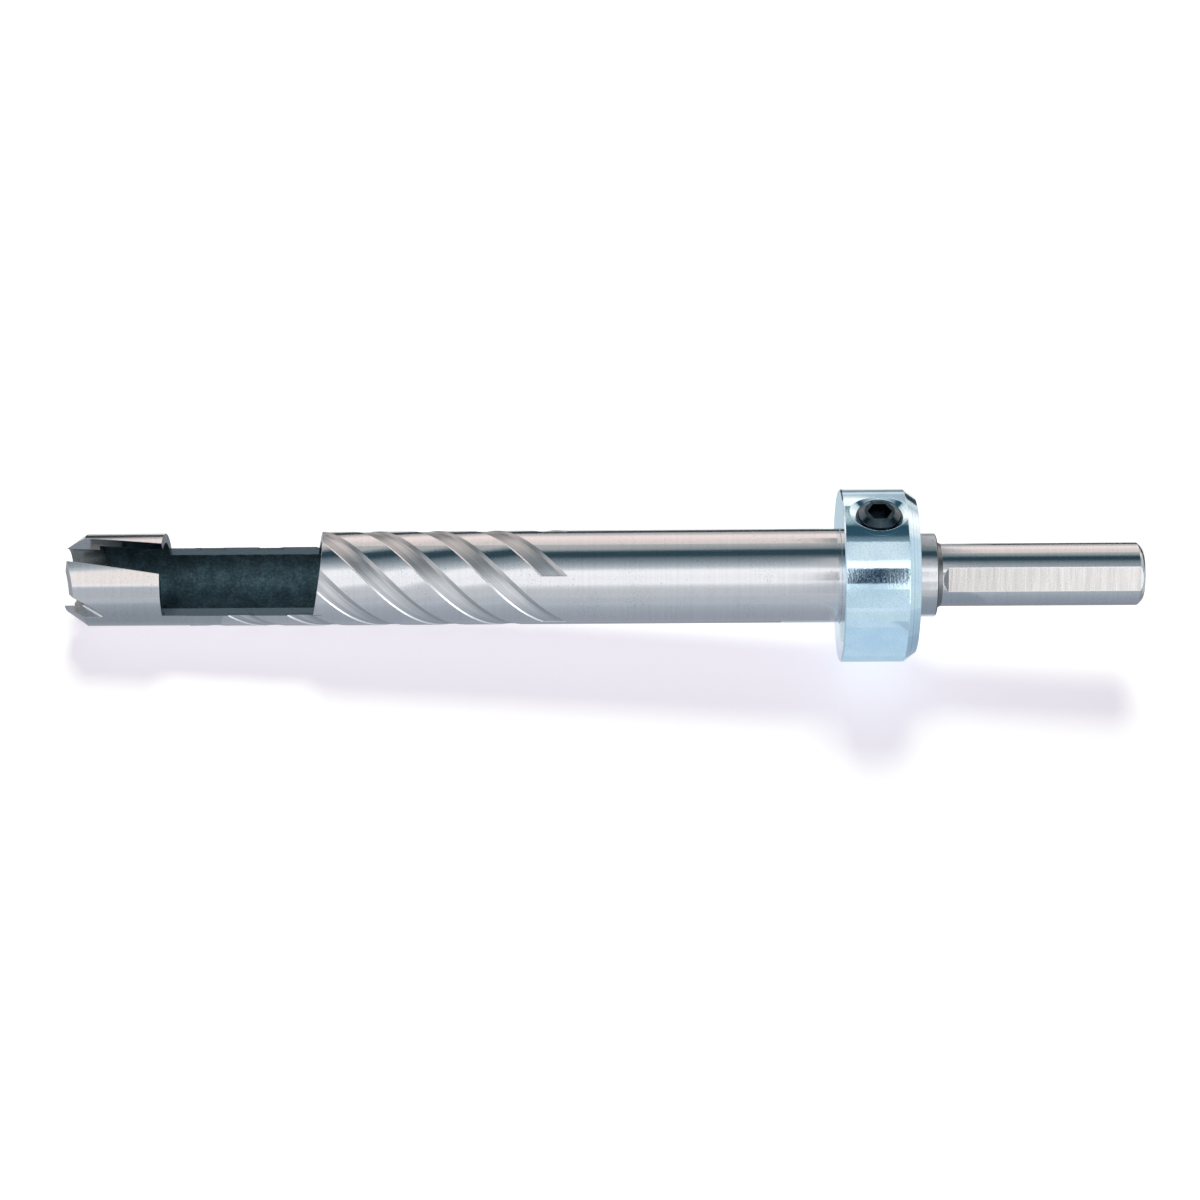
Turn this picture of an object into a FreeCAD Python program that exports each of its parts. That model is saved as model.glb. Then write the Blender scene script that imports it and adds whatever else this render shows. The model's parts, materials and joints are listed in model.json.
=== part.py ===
import FreeCAD, Part
import math
import os

import Sketcher

# Plug cutter for a drill press, with the stop collar that sets its depth.
# The tool is drawn along +X: the cutting tip is at X = 0, the shank ends at the overall length,
# and the ejection window faces +Z. Angles round the axis start at the window's middle (+Z) and
# grow towards +Y. At the end the assembly is tilted to lie on Z = 0 as it comes to rest.

DRIVING_SIZES = [
    ("overall_length", 162.75, "tip of the claws to the end of the shank"),
    ("head_diameter", 14.0, "outside of the cutting head"),
    ("head_length", 18.6, "tip to the small step behind the head"),
    ("relief_diameter", 14.12, "barrel just behind the head"),
    ("barrel_diameter", 14.25, "barrel where the collar slides, nine sixteenths ground"),
    ("barrel_length", 127.0, "tip to the shoulder inside the collar"),
    ("neck_diameter", 12.7, "neck behind the collar, half an inch"),
    ("neck_length", 131.55, "tip to the end of the neck"),
    ("shank_root_diameter", 10.15, "wide end of the cone between neck and shank"),
    ("shank_root_length", 0.75, "length of that cone"),
    ("shank_diameter", 9.525, "shank, three eighths of an inch"),
    ("shank_chamfer", 0.8, "chamfer at the end of the shank"),
    ("shank_chamfer_radius", 2.5, "the same chamfer is slightly rounded, like a barrel"),
    ("shoulder_chamfer", 0.35, "chamfer on the barrel's shoulder"),
    ("neck_chamfer", 0.2, "chamfer on the neck's shoulder"),
    ("plug_diameter", 9.55, "hole in the tip that sizes the wooden plug"),
    ("plug_land_length", 5.25, "depth of that hole"),
    ("bore_diameter", 11.06, "wider bore behind the land"),
    ("bore_length", 41.0, "tip to the end of the wider bore"),
    ("drill_point_length", 3.2, "cone that the drill leaves at the end of the bore"),
    ("window_start", 14.95, "tip to the front wall of the window"),
    ("window_length", 22.75, "window at the depth of its lips"),
    ("window_drop", 0.45, "how far the window's lips lie below the axis"),
    ("window_lean", 11.5, "degrees that the rear wall leans back"),
    ("slot_width", 5.08, "chip slot, along Y"),
    ("slot_shift_front", 0.43, "middle of the slot at the tip, towards +Y"),
    ("slot_shift_rear", -1.56, "middle of the slot at the window, towards +Y"),
    ("claw_pitch", 77.1, "degrees from one claw's cutting face to the next"),
    ("first_rake_angle", -96.25, "degrees round the axis to the second claw's cutting face"),
    ("bevel_length", 3.2, "outside bevel of the slitting claws, along the axis"),
    ("edge_width", 0.05, "flat left on the cutting edge inside that bevel"),
    ("gullet_depth", 1.7, "gullet between claws, square to the bevel"),
    ("gullet_radius", 0.42, "round at the foot of the cutting face"),
    ("gullet_floor", 0.97, "cutting face to where the gullet starts to climb"),
    ("gullet_ramp", 31.3, "degrees that the gullet climbs behind its floor"),
    ("facet_set_back", -1.29, "where the raker claws' ground face would meet the axis"),
    ("facet_slope", 25.1, "degrees that this face leans back"),
    ("facet_lag", 44.7, "degrees from a raker's cutting face to the way its ground face leans"),
    ("flute_count", 5, "helical flutes"),
    ("flute_lead", 44.77, "length of one turn of a flute"),
    ("flute_start", 19.3, "tip to the front end of the flutes"),
    ("flute_end", 72.0, "tip to the rear end of the flutes' front edges"),
    ("flute_end_angle", -41.75, "degrees round the axis to one flute's rear end"),
    ("flute_width", 4.07, "flute along the axis"),
    ("flute_depth", 0.15, "depth of the flute"),
    ("flute_wall_width", 0.28, "steep front wall of the flute, along the axis"),
    ("flute_rim_width", 0.85, "gentle slope up to its rear edge, along the axis"),
    ("flat_depth", 0.37, "depth of the three flats on the shank"),
    ("flat_gap", 0.05, "cone's end to where the flats run out"),
    ("flat_runout", 0.85, "length of that run-out"),
    ("flat_angle", -53.15, "degrees round the axis to the first flat"),
    ("running_clearance", 0.05, "collar on the barrel and screw in its hole, on the radius"),
    ("collar_front", 117.07, "tip to the collar's working face"),
    ("collar_width", 11.3, "collar along the axis"),
    ("collar_diameter", 26.2, "outside of the collar"),
    ("collar_edge", 0.2, "broken edge on the collar's front rim"),
    ("collar_chamfer_length", 1.8, "chamfer on the collar's rear rim, along the axis"),
    ("collar_chamfer_depth", 1.3, "the same chamfer, towards the axis"),
    ("bore_edge", 0.25, "broken edges of the collar's bore"),
    ("screw_place", 5.4, "collar's working face to the set screw's axis"),
    ("screw_angle", 3.2, "degrees round the axis to the set screw"),
    ("screw_diameter", 6.25, "set screw over its thread, a quarter of an inch"),
    ("screw_length", 6.0, "set screw"),
    ("screw_seat_gap", 0.02, "cup point to the barrel"),
    ("screw_cup_radius", 1.5, "cup in the point"),
    ("screw_cup_depth", 0.8, "depth of the cup"),
    ("screw_point_chamfer", 0.9, "cone behind the point"),
    ("screw_top_chamfer", 0.86, "chamfer round the socket end, towards its axis"),
    ("screw_top_slope", 0.5, "the same chamfer, along the screw"),
    ("socket_flats", 3.2, "hexagon socket across its flats, an eighth of an inch"),
    ("socket_depth", 2.3, "depth of the socket"),
    ("countersink_diameter", 8.9, "countersink round the set screw's hole"),
    ("countersink_depth", 0.82, "depth of the countersink"),
]

OVERCUT = 2.0
SECTOR_MARGIN = 3.0
VOID_MARGIN = 10.0
GULLET_COUNT = 3
FLAT_COUNT = 3

doc = FreeCAD.newDocument("plug_cutter")
sheet = doc.addObject("Spreadsheet::Sheet", "Sizes")
for row, (alias, value, meaning) in enumerate(DRIVING_SIZES, start=1):
    sheet.set(f"A{row}", alias)
    sheet.set(f"B{row}", str(value))
    sheet.set(f"C{row}", meaning)
    sheet.setAlias(f"B{row}", alias)
doc.recompute()


def worked_out(expression):
    """The number that an expression in the sheet's names comes to."""
    return float(sheet.evalExpression(expression))


def around(angle):
    """The direction away from the axis at an angle, in degrees from +Z towards +Y."""
    turn = math.radians(angle)
    return FreeCAD.Vector(0, math.sin(turn), math.cos(turn))


def frame_at(across, up, place=FreeCAD.Vector(0, 0, 0)):
    """A placement with its X along one direction and its Y along another, at a place."""
    return FreeCAD.Placement(place, FreeCAD.Rotation(across, up, across.cross(up), "XYZ"))


AXIS = FreeCAD.Vector(1, 0, 0)


def axial_frame(angle, along=0):
    """A plane through the axis: its X runs along the tool, its Y away from the axis."""
    return frame_at(AXIS, around(angle), AXIS * along)


def rounded(start, end, radius):
    """A shallow arc from start to end that stands out to the left of the way it is drawn."""
    chord = end - start
    half = chord.Length / 2
    rise = radius - math.sqrt(radius**2 - half**2)
    out = FreeCAD.Vector(-chord.y, chord.x, 0).normalize()
    return Part.Arc(start, (start + end) / 2 + out * rise, end)


def outline(body, name, frame, corners, arcs=None):
    """A closed sketch in a frame of the body. Each corner is a pair of expressions.

    arcs gives the radius of each edge that isn't straight, by the corner that it starts from."""
    plane = next(item for item in body.Origin.OriginFeatures if item.Role == "XY_Plane")
    sketch = body.newObject("Sketcher::SketchObject", name)
    sketch.AttachmentSupport = (plane, [""])
    sketch.MapMode = "FlatFace"
    sketch.AttachmentOffset = frame
    arcs = arcs or {}
    points = [FreeCAD.Vector(worked_out(x), worked_out(y), 0) for x, y in corners]
    for index, (start, end) in enumerate(zip(points, points[1:] + points[:1])):
        if index in arcs:
            sketch.addGeometry(rounded(start, end, worked_out(arcs[index])))
        else:
            sketch.addGeometry(Part.LineSegment(start, end))
    # an arc that is drawn clockwise has its ends the other way round
    first = [2 if index in arcs else 1 for index in range(len(corners))]
    for index, (x, y) in enumerate(corners):
        following = (index + 1) % len(corners)
        joined = (index, 3 - first[index], following, first[following])
        sketch.addConstraint(Sketcher.Constraint("Coincident", *joined))
        if index in arcs:
            value = worked_out(arcs[index])
            place = sketch.addConstraint(Sketcher.Constraint("Radius", index, value))
            sketch.setExpression(f"Constraints[{place}]", arcs[index])
        for kind, axis, expression in (("DistanceX", -2, x), ("DistanceY", -1, y)):
            corner = (index, first[index])
            if expression == "0":
                sketch.addConstraint(Sketcher.Constraint("PointOnObject", *corner, axis))
                continue
            value = worked_out(expression)
            place = sketch.addConstraint(Sketcher.Constraint(kind, -1, 1, *corner, value))
            sketch.setExpression(f"Constraints[{place}]", expression)
    return sketch


def volume_of(body):
    doc.recompute()
    return body.Shape.Volume


def check_cut(body, name, before):
    """A cut that points away from the solid shows no error, so its volume is compared."""
    after = volume_of(body)
    if not 0 < after < before:
        raise RuntimeError(f"{name} cut nothing")
    print(f"{name}: {before - after:.2f} cubic mm")


def turn_solid(body, name, sketch, axis):
    solid = body.newObject("PartDesign::Revolution", name)
    solid.Profile = sketch
    solid.ReferenceAxis = (sketch, [axis])
    solid.Angle = 360
    doc.recompute()
    return solid


def turn_away(body, name, sketch, axis, angle=360):
    """Turns a sketch about its own axis and cuts what it sweeps."""
    before = volume_of(body)
    groove = body.newObject("PartDesign::Groove", name)
    groove.Profile = sketch
    groove.ReferenceAxis = (sketch, [axis])
    groove.Angle = angle
    check_cut(body, name, before)
    return groove


def cut_away(body, name, sketch, length, both_sides=False, outwards=False):
    """Cuts a sketch straight into the body: to both sides, or only one way."""
    before = volume_of(body)
    pocket = body.newObject("PartDesign::Pocket", name)
    pocket.Profile = sketch
    pocket.SideType = "Symmetric" if both_sides else "One side"
    pocket.setExpression("Length", length)
    pocket.Reversed = outwards
    check_cut(body, name, before)
    return pocket


def repeat(body, name, feature, count, angle):
    """Copies a cut about the tool's axis. The angle is from the first copy to the last."""
    before = volume_of(body)
    line = next(item for item in body.Origin.OriginFeatures if item.Role == "X_Axis")
    pattern = body.newObject("PartDesign::PolarPattern", name)
    pattern.Originals = [feature]
    pattern.Axis = (line, [""])
    pattern.Occurrences = count
    pattern.Angle = angle
    body.Tip = pattern
    check_cut(body, name, before)
    return pattern


def make_blank():
    """The cutter as it leaves the lathe: head, barrel, neck, shank and the stepped bore."""
    body = doc.addObject("PartDesign::Body", "cutter_body")
    body.Label = "cutter_body"
    step = "Sizes.shoulder_chamfer"
    neck_step = "Sizes.neck_chamfer"
    shank = "Sizes.neck_length + Sizes.shank_root_length"
    chamfer_start = ("Sizes.overall_length - Sizes.shank_chamfer", "Sizes.shank_diameter / 2")
    profile = [
        ("0", "Sizes.plug_diameter / 2"),
        ("0", "Sizes.head_diameter / 2"),
        ("Sizes.head_length", "Sizes.head_diameter / 2"),
        ("Sizes.head_length", "Sizes.relief_diameter / 2"),
        ("Sizes.window_start + Sizes.window_length", "Sizes.barrel_diameter / 2"),
        (f"Sizes.barrel_length - {step}", "Sizes.barrel_diameter / 2"),
        ("Sizes.barrel_length", f"Sizes.barrel_diameter / 2 - {step}"),
        ("Sizes.barrel_length", "Sizes.neck_diameter / 2"),
        (f"Sizes.neck_length - {neck_step}", "Sizes.neck_diameter / 2"),
        ("Sizes.neck_length", f"Sizes.neck_diameter / 2 - {neck_step}"),
        ("Sizes.neck_length", "Sizes.shank_root_diameter / 2"),
        (shank, "Sizes.shank_diameter / 2"),
        chamfer_start,
        ("Sizes.overall_length", "Sizes.shank_diameter / 2 - Sizes.shank_chamfer"),
        ("Sizes.overall_length", "0"),
        ("Sizes.bore_length + Sizes.drill_point_length", "0"),
        ("Sizes.bore_length", "Sizes.bore_diameter / 2"),
        ("Sizes.plug_land_length", "Sizes.bore_diameter / 2"),
        ("Sizes.plug_land_length", "Sizes.plug_diameter / 2"),
    ]
    arcs = {profile.index(chamfer_start): "Sizes.shank_chamfer_radius"}
    sketch = outline(body, "turned_profile", axial_frame(0), profile, arcs)
    turn_solid(body, "turned_blank", sketch, "H_Axis")
    return body


def cut_window(body):
    """The window that lets the cut plugs out, milled a little past the axis."""
    lip = "-Sizes.window_drop"
    end = "Sizes.window_start + Sizes.window_length"
    top = "Sizes.barrel_diameter"
    lean = "tan(Sizes.window_lean) * (Sizes.barrel_diameter + Sizes.window_drop)"
    side_view = [
        ("Sizes.window_start", lip),
        (end, lip),
        (f"{end} + {lean}", top),
        ("Sizes.window_start", top),
    ]
    sketch = outline(body, "window_profile", axial_frame(0), side_view)
    cut_away(body, "window", sketch, "2 * Sizes.barrel_diameter", both_sides=True)


def cut_slot(body):
    """The slanting chip slot from the tip to the window. Its lower wall is a cutting face."""
    reach = f"{OVERCUT}"
    end = f"Sizes.window_start + {reach}"
    drift = "(Sizes.slot_shift_rear - Sizes.slot_shift_front) / Sizes.window_start"
    front = f"Sizes.slot_shift_front - {drift} * {reach}"
    rear = f"Sizes.slot_shift_rear + {drift} * {reach}"
    half = "Sizes.slot_width / 2"
    plan_view = [
        (f"-{reach}", f"{front} - {half}"),
        (end, f"{rear} - {half}"),
        (end, f"{rear} + {half}"),
        (f"-{reach}", f"{front} + {half}"),
    ]
    sketch = outline(body, "slot_profile", frame_at(AXIS, around(90)), plan_view)
    cut_away(body, "chip_slot", sketch, "Sizes.barrel_diameter", outwards=True)


def rake_angle(claw):
    """Degrees round the axis to a claw's cutting face. Claw 0 is the one beside the slot."""
    return worked_out(f"Sizes.first_rake_angle + (1 - {claw}) * Sizes.claw_pitch")


def cut_bevels(body):
    """The steep outside bevel of the two slitting claws, ground to a knife edge."""
    inner = "Sizes.plug_diameter / 2 + Sizes.edge_width"
    slope = f"(Sizes.head_diameter / 2 - {inner}) / Sizes.bevel_length"
    reach = f"{OVERCUT}"
    corner = [
        (f"-{reach}", f"{inner} - {slope} * {reach}"),
        (f"Sizes.bevel_length + {reach}", f"Sizes.head_diameter / 2 + {slope} * {reach}"),
        (f"-{reach}", f"Sizes.head_diameter / 2 + {slope} * {reach}"),
    ]
    lower = axial_frame(rake_angle(1) + SECTOR_MARGIN)
    sketch = outline(body, "lower_bevel_profile", lower, corner)
    turn_away(body, "lower_claw_bevel", sketch, "H_Axis", worked_out("Sizes.claw_pitch"))
    upper = axial_frame(rake_angle(3) + SECTOR_MARGIN)
    sketch = outline(body, "upper_bevel_profile", upper, corner)
    sweep = rake_angle(3) + SECTOR_MARGIN
    turn_away(body, "upper_claw_bevel", sketch, "H_Axis", sweep % 360)


def cut_gullets(body):
    """Gullets in front of claws 1 to 3. Each has an upright cutting face and a long ramp."""
    inner = worked_out("Sizes.plug_diameter / 2 + Sizes.edge_width")
    outer = worked_out("Sizes.head_diameter / 2")
    bevel = worked_out("Sizes.bevel_length")
    angle = rake_angle(1)
    along_bevel = (AXIS * bevel + around(angle) * (outer - inner)).normalize()
    side = around(angle + 90)
    out_of_bevel = along_bevel.cross(side)
    if out_of_bevel.dot(around(angle)) < 0:
        out_of_bevel = out_of_bevel * -1
    edge = AXIS * bevel + around(angle) * outer
    floor = edge - out_of_bevel * worked_out("Sizes.gullet_depth")
    reach = "Sizes.head_diameter"
    section = [
        ("Sizes.gullet_radius", "0"),
        ("0", "Sizes.gullet_radius"),
        ("0", reach),
        (f"Sizes.gullet_floor + {reach} / tan(Sizes.gullet_ramp)", reach),
        ("Sizes.gullet_floor", "0"),
    ]
    frame = frame_at(side, out_of_bevel, floor)
    sketch = outline(body, "gullet_profile", frame, section, {0: "Sizes.gullet_radius"})
    gullet = cut_away(body, "first_gullet", sketch, "4 * Sizes.head_diameter", both_sides=True)
    return gullet


def cut_raker_faces(body):
    """The flat ground end of the two raker claws, set back behind the slitting claws."""
    slope = math.radians(worked_out("Sizes.facet_slope"))
    lean = rake_angle(0) - worked_out("Sizes.facet_lag")
    up = AXIS * math.sin(slope) + around(lean) * math.cos(slope)
    place = AXIS * worked_out("Sizes.facet_set_back")
    ahead = f"(Sizes.facet_lag + {VOID_MARGIN})"
    behind = f"(Sizes.facet_lag - Sizes.claw_pitch + {SECTOR_MARGIN})"
    reach = "Sizes.head_diameter"
    sector = [
        ("0", "0"),
        (f"{reach} * sin{ahead}", f"{reach} * cos{ahead} / cos(Sizes.facet_slope)"),
        (f"{reach} * sin{behind}", f"{reach} * cos{behind} / cos(Sizes.facet_slope)"),
    ]
    sketch = outline(body, "raker_profile", frame_at(around(lean + 90), up, place), sector)
    face = cut_away(body, "middle_raker_face", sketch, "Sizes.head_diameter")
    return face


def cut_flutes(body):
    """Shallow right-hand flutes round the barrel: steep front wall, floor, gentle rear slope."""
    run = worked_out("Sizes.flute_end - Sizes.flute_start")
    turned = run / worked_out("Sizes.flute_lead") * 360
    start_angle = worked_out("Sizes.flute_end_angle") + turned
    surface = "Sizes.barrel_diameter / 2"
    section = [
        ("Sizes.flute_width", surface),
        ("Sizes.flute_width - Sizes.flute_rim_width", f"{surface} - Sizes.flute_depth"),
        ("Sizes.flute_wall_width", f"{surface} - Sizes.flute_depth"),
        ("0", surface),
        ("0", f"{surface} + {OVERCUT}"),
        ("Sizes.flute_width", f"{surface} + {OVERCUT}"),
    ]
    frame = axial_frame(start_angle, worked_out("Sizes.flute_start"))
    sketch = outline(body, "flute_profile", frame, section)
    before = volume_of(body)
    flute = body.newObject("PartDesign::SubtractiveHelix", "first_flute")
    flute.Profile = sketch
    flute.ReferenceAxis = (sketch, ["H_Axis"])
    flute.Mode = "pitch-height-angle"
    flute.setExpression("Pitch", "Sizes.flute_lead")
    flute.setExpression("Height", "Sizes.flute_end - Sizes.flute_start")
    check_cut(body, "first_flute", before)
    return flute


def cut_flats(body):
    """Three flats on the shank for the jaws of the chuck."""
    radius = "Sizes.shank_diameter / 2"
    flat = f"{radius} - Sizes.flat_depth"
    start = "Sizes.neck_length + Sizes.shank_root_length + Sizes.flat_gap"
    end = f"Sizes.overall_length + {OVERCUT}"
    side_view = [
        (f"{start} + Sizes.flat_runout", flat),
        (end, flat),
        (end, f"{radius} + {OVERCUT}"),
        (start, f"{radius} + {OVERCUT}"),
        (start, radius),
    ]
    frame = axial_frame(worked_out("Sizes.flat_angle"))
    sketch = outline(body, "flat_profile", frame, side_view)
    flat = cut_away(body, "first_flat", sketch, "2 * Sizes.shank_diameter", both_sides=True)
    return flat


def make_cutter():
    """The whole cutter: one bar, turned, then milled and ground."""
    body = make_blank()
    cut_window(body)
    cut_slot(body)
    gullet = cut_gullets(body)
    pitch = worked_out("Sizes.claw_pitch")
    repeat(body, "gullets", gullet, GULLET_COUNT, (GULLET_COUNT - 1) * pitch)
    cut_bevels(body)
    face = cut_raker_faces(body)
    repeat(body, "raker_faces", face, 2, 2 * pitch)
    flute = cut_flutes(body)
    count = round(worked_out("Sizes.flute_count"))
    repeat(body, "flutes", flute, count, 360)
    flat = cut_flats(body)
    repeat(body, "flats", flat, FLAT_COUNT, 360)
    return body


def make_collar():
    """The stop collar: a turned ring with one tapped and countersunk hole."""
    body = doc.addObject("PartDesign::Body", "stop_collar")
    body.Label = "stop_collar"
    bore = "(Sizes.barrel_diameter / 2 + Sizes.running_clearance)"
    outside = "Sizes.collar_diameter / 2"
    front = "Sizes.collar_front"
    rear = f"{front} + Sizes.collar_width"
    profile = [
        (f"{front}", f"{bore} + Sizes.bore_edge"),
        (f"{front}", f"{outside} - Sizes.collar_edge"),
        (f"{front} + Sizes.collar_edge", outside),
        (f"{rear} - Sizes.collar_chamfer_length", outside),
        (rear, f"{outside} - Sizes.collar_chamfer_depth"),
        (rear, f"{bore} + Sizes.bore_edge"),
        (f"{rear} - Sizes.bore_edge", bore),
        (f"{front} + Sizes.bore_edge", bore),
    ]
    sketch = outline(body, "collar_profile", axial_frame(0), profile)
    turn_solid(body, "turned_ring", sketch, "H_Axis")
    hole = "(Sizes.screw_diameter / 2 + Sizes.running_clearance)"
    sink = "Sizes.countersink_diameter / 2"
    slope = f"({sink} - {hole}) / Sizes.countersink_depth"
    hole_section = [
        ("0", "0"),
        (hole, "0"),
        (hole, f"{outside} - Sizes.countersink_depth"),
        (f"{sink} + {slope} * {OVERCUT}", f"{outside} + {OVERCUT}"),
        ("0", f"{outside} + {OVERCUT}"),
    ]
    sketch = outline(body, "hole_profile", screw_frame(), hole_section)
    turn_away(body, "screw_hole", sketch, "V_Axis")
    return body


def screw_frame():
    """A plane through the tool's axis and the set screw's: its Y runs along the screw."""
    along = worked_out("Sizes.collar_front + Sizes.screw_place")
    return axial_frame(worked_out("Sizes.screw_angle"), along)


def make_screw():
    """The set screw: cup point, plain body where its fine thread is, hexagon socket."""
    body = doc.addObject("PartDesign::Body", "set_screw")
    body.Label = "set_screw"
    point = "(Sizes.barrel_diameter / 2 + Sizes.screw_seat_gap)"
    top = f"({point} + Sizes.screw_length)"
    radius = "Sizes.screw_diameter / 2"
    profile = [
        ("0", f"{point} + Sizes.screw_cup_depth"),
        ("Sizes.screw_cup_radius", point),
        (f"{radius} - Sizes.screw_point_chamfer", point),
        (radius, f"{point} + Sizes.screw_point_chamfer"),
        (radius, f"{top} - Sizes.screw_top_slope"),
        (f"{radius} - Sizes.screw_top_chamfer", top),
        ("0", top),
    ]
    sketch = outline(body, "screw_profile", screw_frame(), profile)
    turn_solid(body, "screw_blank", sketch, "V_Axis")
    outwards = around(worked_out("Sizes.screw_angle"))
    along = worked_out("Sizes.collar_front + Sizes.screw_place")
    place = AXIS * along + outwards * worked_out(top)
    corner = "Sizes.socket_flats / 2 / cos(30)"
    hexagon = [(f"{corner} * cos({60 * k})", f"{corner} * sin({60 * k})") for k in range(6)]
    hexagon[0] = (corner, "0")
    hexagon[3] = (f"-{corner}", "0")
    frame = frame_at(AXIS, outwards.cross(AXIS), place)
    sketch = outline(body, "socket_profile", frame, hexagon)
    cut_away(body, "socket", sketch, "Sizes.socket_depth")
    return body


def resting_place():
    """Lays the tool down on the collar's front rim and the hidden raker claw's outer edge."""
    rim = worked_out("Sizes.collar_diameter / 2")
    rim_along = worked_out("Sizes.collar_front + Sizes.collar_edge")
    head = worked_out("Sizes.head_diameter / 2")
    lean = rake_angle(2) - worked_out("Sizes.facet_lag")
    face_rise = head * math.cos(math.radians(180 - lean))
    slope = math.radians(worked_out("Sizes.facet_slope"))
    head_along = worked_out("Sizes.facet_set_back") + face_rise * math.tan(slope)
    tilt = math.atan2(rim - head, rim_along - head_along)
    turn = FreeCAD.Rotation(FreeCAD.Vector(0, 1, 0), -math.degrees(tilt))
    lowest = turn.multVec(FreeCAD.Vector(head_along, 0, -head))
    tip = turn.multVec(FreeCAD.Vector(0, 0, worked_out("Sizes.plug_diameter / 2")))
    end_radius = worked_out("Sizes.shank_diameter / 2 - Sizes.shank_chamfer")
    end = turn.multVec(FreeCAD.Vector(worked_out("Sizes.overall_length"), 0, -end_radius))
    shift = FreeCAD.Vector(-(tip.x + end.x) / 2, 0, -lowest.z)
    print(f"tilt {math.degrees(tilt):.4f} degrees, tip of the axis at {shift.x:.4f}, {shift.z:.4f} mm")
    return FreeCAD.Placement(shift, turn)


pieces = [make_cutter(), make_collar(), make_screw()]
rest = resting_place()
for piece in pieces:
    piece.Placement = rest
doc.recompute()

for item in doc.Objects:
    if "Invalid" in item.State or "Error" in item.State:
        raise RuntimeError(f"{item.Label} failed: {item.State}")
for piece in pieces:
    if piece.Shape.isNull() or not piece.Shape.isValid():
        raise RuntimeError(f"{piece.Label} has no valid shape")

os.makedirs("parts", exist_ok=True)
for piece in pieces:
    piece.Shape.exportStep(f"parts/{piece.Label}.step")
    box = piece.Shape.BoundBox
    print(f"{piece.Label}: {len(piece.Shape.Solids)} solid, {piece.Shape.Volume:.1f} cubic mm, "
          f"{len(piece.Shape.Faces)} faces, X {box.XMin:.2f} to {box.XMax:.2f}, "
          f"Z {box.ZMin:.3f} to {box.ZMax:.3f}")
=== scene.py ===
# %% [markdown]
# # A plug cutter in ground steel
# This drill press tool cuts round wooden plugs. It is one bar of ground steel, with a stop
# collar that slides on it and a black set screw that clamps the collar. The CAD solids already
# have the right shapes, so this lesson is about metal: how a machined surface gets its lines,
# and how a studio is built so that bright steel shows its form.

# %% Load the frame
import json
import math

import bmesh
import bpy
from mathutils import Matrix, Vector

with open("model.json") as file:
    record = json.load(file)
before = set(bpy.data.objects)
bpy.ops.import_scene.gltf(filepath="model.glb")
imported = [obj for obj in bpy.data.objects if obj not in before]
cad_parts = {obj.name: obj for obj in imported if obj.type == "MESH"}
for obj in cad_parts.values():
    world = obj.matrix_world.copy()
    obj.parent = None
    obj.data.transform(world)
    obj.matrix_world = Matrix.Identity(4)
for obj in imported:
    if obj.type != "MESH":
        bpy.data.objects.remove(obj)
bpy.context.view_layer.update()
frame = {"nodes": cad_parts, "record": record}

MM = 0.001
print("CAD nodes:", sorted(frame["nodes"]))

# %% [markdown]
# ## Where the tool lies
# The tool rests on its collar and its cutting head, so its axis climbs three degrees. Every
# machined line on it follows that axis. The axis could be typed in as numbers, but the packed
# record already holds it: the collar slides along it, and the plug bore's mount lies on it. So
# the materials read it from there, and can measure along the tool and round it.

# %% Find the tool's axis
joints = {joint["name"]: joint for joint in frame["record"]["behaviour"]["joints"]}
mounts = {mount["name"]: mount for mount in frame["record"]["mounts"]}
AXIS = Vector(joints["collar_slide"]["axis"]).normalized()
SIDE = Vector((0, 1, 0))
UP = AXIS.cross(SIDE)
PLUG_BORE_ALONG = 3.5 * MM
TIP = Vector(mounts["plug_bore"]["pos_m"]) - AXIS * PLUG_BORE_ALONG
print("axis", tuple(round(a, 4) for a in AXIS), "tip in mm", tuple(round(p / MM, 2) for p in TIP))

# %% [markdown]
# ## Helpers for shader nodes
# A procedural material is a graph of nodes. It could be wired by hand in the editor, but a
# script can be read, changed and run again. The first helper adds a node, sets its sockets and
# wires it in one line. The others name the sums that all the finishes below are made of.

# %% Add a node
def add_node(tree, kind, settings=None, **sockets):
    """Adds a node. A socket gets a value or a wire, and is named, or counted as n0, n1."""
    node = tree.nodes.new(kind)
    for name, value in (settings or {}).items():
        setattr(node, name, value)
    for name, value in sockets.items():
        place = int(name[1:]) if name[0] == "n" and name[1:].isdigit() else name.replace("_", " ")
        socket = node.inputs[place]
        if isinstance(value, bpy.types.NodeSocket):
            tree.links.new(value, socket)
        elif socket.type == "RGBA":
            socket.default_value = (*value, 1)
        else:
            socket.default_value = value
    return node


# %% Sums
def maths(tree, operation, first, second=0.0):
    """One sum on values that change over the surface."""
    node = add_node(tree, "ShaderNodeMath", {"operation": operation}, n0=first, n1=second)
    return node.outputs[0]


def times(tree, first, second):
    """Multiplies two values. Of two masks it keeps the places that both cover."""
    return maths(tree, "MULTIPLY", first, second)


def vectors(tree, operation, first, second):
    """One sum on two vectors. A dot product gives a value."""
    node = add_node(tree, "ShaderNodeVectorMath", {"operation": operation}, n0=first, n1=second)
    return node.outputs["Value" if operation == "DOT_PRODUCT" else "Vector"]


# %% [markdown]
# ## Node groups
# What more than one metal needs could be copied into each material, but then a change would
# have to be made in every copy. It is built once as a node group with named sockets instead,
# and placed in each material with its own values.

# %% Group helpers
FLOAT, VECTOR = "NodeSocketFloat", "NodeSocketVector"


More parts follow.
